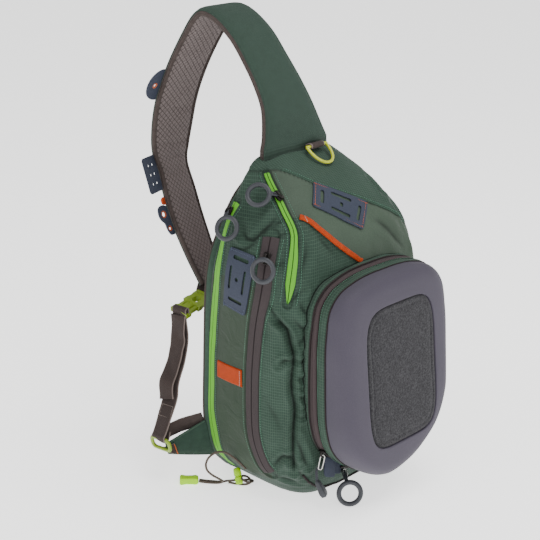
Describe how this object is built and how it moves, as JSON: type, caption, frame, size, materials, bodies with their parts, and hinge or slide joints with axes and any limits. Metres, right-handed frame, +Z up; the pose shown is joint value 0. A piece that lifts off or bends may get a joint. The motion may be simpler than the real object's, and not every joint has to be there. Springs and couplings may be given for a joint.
{
  "type": "fishing tackle sling bag",
  "caption": "Sling pack for fishing tackle with a zipped cloth body, a moulded pocket lid on the front and one padded shoulder strap that clips at its lower side.",
  "frame": {"origin": "middle of the flat base, on the floor", "axes": "+Z up, -Y towards the pocket lid at the front, +Y towards the wearer's back, -X towards the side with the buckle and the webbing"},
  "size_m": [0.3343, 0.3943, 0.611],
  "materials": {
    "cloth": "ripstop weave",
    "back_cloth": "padded spacer cloth",
    "lime_tape": "coated zipper tape",
    "zipper_tape": "woven zipper tape",
    "moulded_lid": "laminated foam, matt",
    "felt": "heather felt",
    "coated_cloth": "smooth coated cloth",
    "orange_trim": "woven elastic and coated trim",
    "buckle_plastic": "satin acetal",
    "d_ring_plastic": "satin acetal",
    "webbing": "woven webbing",
    "strap_mesh": "spacer mesh",
    "ring_plastic": "matt moulding",
    "cord_plastic": "translucent satin",
    "slider_metal": "black satin",
    "cord": "braided elastic"
  },
  "bodies": {
    "root": {"body_shell": "cloth", "back_panel": "back_cloth", "main_zip_left": "lime_tape", "main_zip_right": "lime_tape", "side_zip": "zipper_tape", "front_zip": "lime_tape", "elastic_ribbon": "orange_trim", "side_tab": "orange_trim", "side_patch": "coated_cloth", "front_patch": "coated_cloth", "pocket_wall": "cloth", "pocket_zip": "zipper_tape", "pocket_band": "cloth", "lid": "moulded_lid", "label": "felt", "strap_cover": "cloth", "strap_lining": "strap_mesh", "d_ring": "d_ring_plastic", "d_ring_sleeve": "webbing", "main_slider": "slider_metal", "main_pull": "ring_plastic", "front_slider": "slider_metal", "front_pull": "ring_plastic", "side_slider": "slider_metal", "side_pull": "ring_plastic", "pocket_slider": "slider_metal", "pocket_pull": "ring_plastic", "toggle_slider": "slider_metal", "toggle_pull": "ring_plastic", "round_tab": "coated_cloth", "round_eyelet": "orange_trim", "hole_flap": "coated_cloth", "loop_tab": "orange_trim", "double_tab": "coated_cloth", "big_eyelet": "orange_trim", "small_eyelet": "orange_trim", "buckle_plug": "buckle_plastic", "buckle_socket": "buckle_plastic", "webbing_main": "webbing", "webbing_tail": "webbing", "buckle_strap": "webbing", "wing_ring": "buckle_plastic", "wing": "cloth", "wing_strap": "webbing", "drawcord": "cord", "drawcord_tail": "cord", "cord_end": "cord_plastic", "cord_lock": "cord_plastic"}
  },
  "joints": []
}
